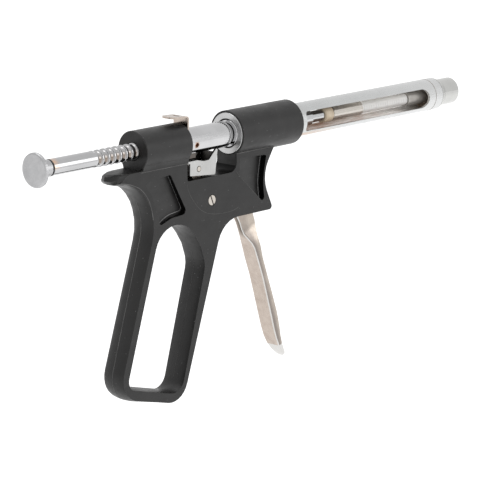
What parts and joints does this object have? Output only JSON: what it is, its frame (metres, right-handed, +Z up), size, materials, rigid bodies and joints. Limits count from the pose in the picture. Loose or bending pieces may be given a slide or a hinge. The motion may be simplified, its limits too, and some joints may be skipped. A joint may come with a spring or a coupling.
{
  "type": "automatic veterinary syringe",
  "caption": "Pistol-grip repeating syringe: black frame with finger loop, squeeze lever, ringed push rod, guide tube and windowed barrel around a small glass syringe.",
  "frame": {"origin": "in the saddle of the grip's back, where the web of the thumb lies, in the middle plane", "axes": "+X along the barrel towards the needle end, +Y to the left, +Z up, square to the barrel"},
  "size_m": [0.326, 0.024, 0.1488],
  "materials": {
    "black_nylon": "fine matt moulded black",
    "polished_chrome": "polished",
    "satin_chrome": "satin",
    "nickel": "warm nickel plate",
    "spring_steel": "bright drawn wire",
    "clear_glass": "clear",
    "buff_plastic": "buff moulded",
    "red_fibre": "pressed fibre",
    "seal_rubber": "moulded black"
  },
  "bodies": {
    "frame": {"frame_body": "black_nylon", "barrel_sleeve": "satin_chrome", "barrel_ring_nut": "satin_chrome", "barrel_collar": "satin_chrome", "pivot_screw": "nickel", "pivot_sleeve_nut": "nickel", "spring_seat": "satin_chrome"},
    "trigger": {"trigger_lever": "nickel"},
    "carriage": {"carriage_tube": "polished_chrome", "drive_fork": "satin_chrome", "fork_pin": "nickel", "return_spring": "spring_steel", "latch_spring": "spring_steel", "nose_adapter": "polished_chrome", "buffer_ring": "buff_plastic", "rear_ferrule": "satin_chrome", "rear_gasket": "red_fibre", "glass_barrel": "clear_glass", "front_gasket": "red_fibre", "front_ferrule": "satin_chrome"},
    "latch": {"latch_plate": "nickel"},
    "rod": {"piston_rod": "polished_chrome", "push_knob": "satin_chrome", "inner_rod": "spring_steel", "piston_head": "satin_chrome", "piston_seal": "seal_rubber"}
  },
  "joints": [
    {"name": "trigger_squeeze", "type": "hinge", "parent": "frame", "child": "trigger", "pos_m": [0.0432, 0, 0.0042], "axis": [0, 1, 0], "range_deg": [0, 28], "stiffness_Nm_per_rad": 0.12, "springref_deg": -20.05},
    {"name": "carriage_slide", "type": "slide", "parent": "frame", "child": "carriage", "axis": [1, 0, 0], "range_m": [0, 0.0088], "stiffness_N_per_m": 60, "springref_m": -0.012, "deforming": ["return_spring"]},
    {"name": "latch_press", "type": "slide", "parent": "carriage", "child": "latch", "axis": [0, 0, -1], "range_m": [0, 0.001], "stiffness_N_per_m": 300, "springref_m": -0.004, "deforming": ["latch_spring"]},
    {"name": "rod_push", "type": "slide", "parent": "carriage", "child": "rod", "axis": [1, 0, 0], "range_m": [0, 0.0332]}
  ],
  "couplings": [
    {"joint": "carriage_slide", "follows": "trigger_squeeze", "m_per_rad": 0.018}
  ]
}
